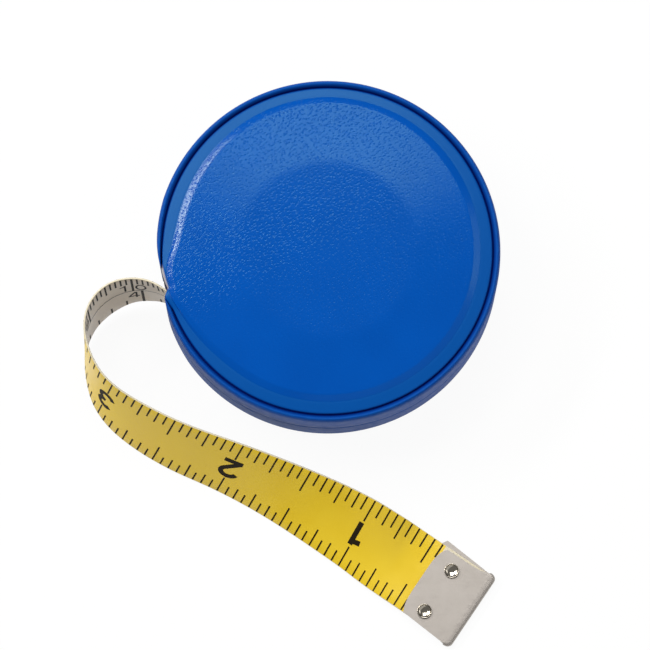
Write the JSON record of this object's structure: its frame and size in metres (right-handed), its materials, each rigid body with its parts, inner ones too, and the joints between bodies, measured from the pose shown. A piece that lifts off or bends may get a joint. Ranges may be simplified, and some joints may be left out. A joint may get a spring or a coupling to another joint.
{
  "type": "tape measure",
  "caption": "Round pocket tape measure: grained vinyl case with spring drum, centre push release and friction brake, flat printed tape curling out of a side mouth to a riveted steel clasp.",
  "frame": {"origin": "middle of the rear face, on the surface that the case lies on", "axes": "+Z is the axis of the drum and post, from the rear face to the front face; the tape leaves the case on the -X side"},
  "size_m": [0.073, 0.0967, 0.02],
  "materials": {
    "cover_vinyl": "grained blue vinyl skin, satin",
    "rim_vinyl": "smooth blue vinyl, satin",
    "shell_plastic": "moulded blue ABS",
    "pin_steel": "turned steel",
    "spring_steel": "blued spring steel",
    "drum_plastic": "moulded acetal, natural white",
    "brake_rubber": "moulded rubber",
    "tape_vinyl": "coated fibreglass strip, yellow with a printed scale",
    "clasp_steel": "nickel-plated sheet steel, satin",
    "rivet_steel": "polished nickel plate"
  },
  "bodies": {
    "case": {"rear_cover": "cover_vinyl", "rear_shell": "shell_plastic", "rear_rim": "rim_vinyl", "front_cover": "cover_vinyl", "front_shell": "shell_plastic", "front_rim": "rim_vinyl", "guide_pin_back": "pin_steel", "guide_pin_front": "pin_steel", "center_post": "pin_steel", "thrust_washer": "drum_plastic", "retaining_clip": "spring_steel", "mainspring": "spring_steel", "brake_spring": "spring_steel"},
    "reel": {"drum": "drum_plastic", "spring_cover": "drum_plastic", "brake_ring": "drum_plastic", "tape_winding": "tape_vinyl"},
    "button": {"push_plate": "drum_plastic", "brake_plunger": "drum_plastic", "friction_ring": "brake_rubber"},
    "blade": {"tape_blade": "tape_vinyl", "end_clasp": "clasp_steel", "clasp_rivet_1": "rivet_steel", "clasp_rivet_2": "rivet_steel"}
  },
  "joints": [
    {"name": "drum_spin", "type": "hinge", "parent": "case", "child": "reel", "pos_m": [0, 0, 0.01], "axis": [0, 0, -1], "range_deg": [0, 39.83], "deforming": ["mainspring"]},
    {"name": "tape_pull", "type": "slide", "parent": "case", "child": "blade", "axis": [-0.8241, 0.5664, 0], "range_m": [0, 0.015]},
    {"name": "button_press", "type": "slide", "parent": "case", "child": "button", "axis": [0, 0, -1], "range_m": [0, 0.0012], "stiffness_N_per_m": 900, "springref_m": -0.0006, "deforming": ["brake_spring"]}
  ],
  "couplings": [
    {"joint": "tape_pull", "follows": "drum_spin", "m_per_rad": 0.021574}
  ]
}
